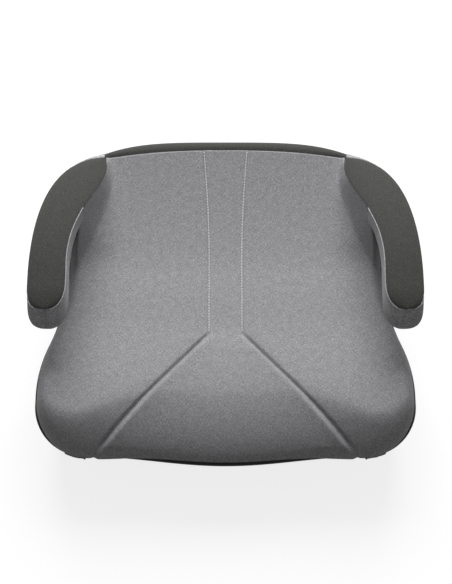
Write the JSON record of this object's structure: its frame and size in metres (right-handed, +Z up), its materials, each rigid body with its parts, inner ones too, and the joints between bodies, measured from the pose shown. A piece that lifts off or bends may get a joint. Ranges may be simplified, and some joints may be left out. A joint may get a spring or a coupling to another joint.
{
  "type": "booster seat",
  "caption": "Backless car booster seat with a padded fabric cover over a moulded shell, forward-curving padded armrests and lap belt gaps beneath them.",
  "frame": {"origin": "on the floor under the middle of the seat: bottom centre of the overall box", "axes": "+X along the width, +Y to the rear where the backrest of the car seat is, +Z up"},
  "size_m": [0.438, 0.38, 0.206],
  "materials": {
    "shell_plastic": "fine spark-eroded texture, black",
    "tray_plastic": "satin black moulding",
    "guide_plastic": "satin dark grey moulding",
    "foam": "open-cell foam",
    "grey_fabric": "melange grey woven polyester",
    "dark_fabric": "charcoal woven polyester",
    "elastic": "black braided elastic",
    "foot_rubber": "soft grooved rubber",
    "screw_steel": "zinc plated"
  },
  "bodies": {
    "root": {"seat_shell": "shell_plastic", "base_tray": "tray_plastic", "armrest_frame_left": "shell_plastic", "armrest_frame_right": "shell_plastic", "belt_guide_left": "guide_plastic", "belt_guide_right": "guide_plastic", "seat_foam": "foam", "armrest_foam_left": "foam", "armrest_foam_right": "foam", "seat_centre_panel": "grey_fabric", "seat_side_panel_left": "grey_fabric", "seat_side_panel_right": "grey_fabric", "rear_panel": "dark_fabric", "armrest_top_panel_left": "dark_fabric", "armrest_top_panel_right": "dark_fabric", "armrest_gusset_left": "grey_fabric", "armrest_gusset_right": "grey_fabric", "hem_elastic": "elastic", "hem_clips": "tray_plastic", "rubber_feet": "foot_rubber", "tray_screws": "screw_steel", "armrest_screws": "screw_steel", "belt_guide_screws": "screw_steel"}
  },
  "joints": []
}
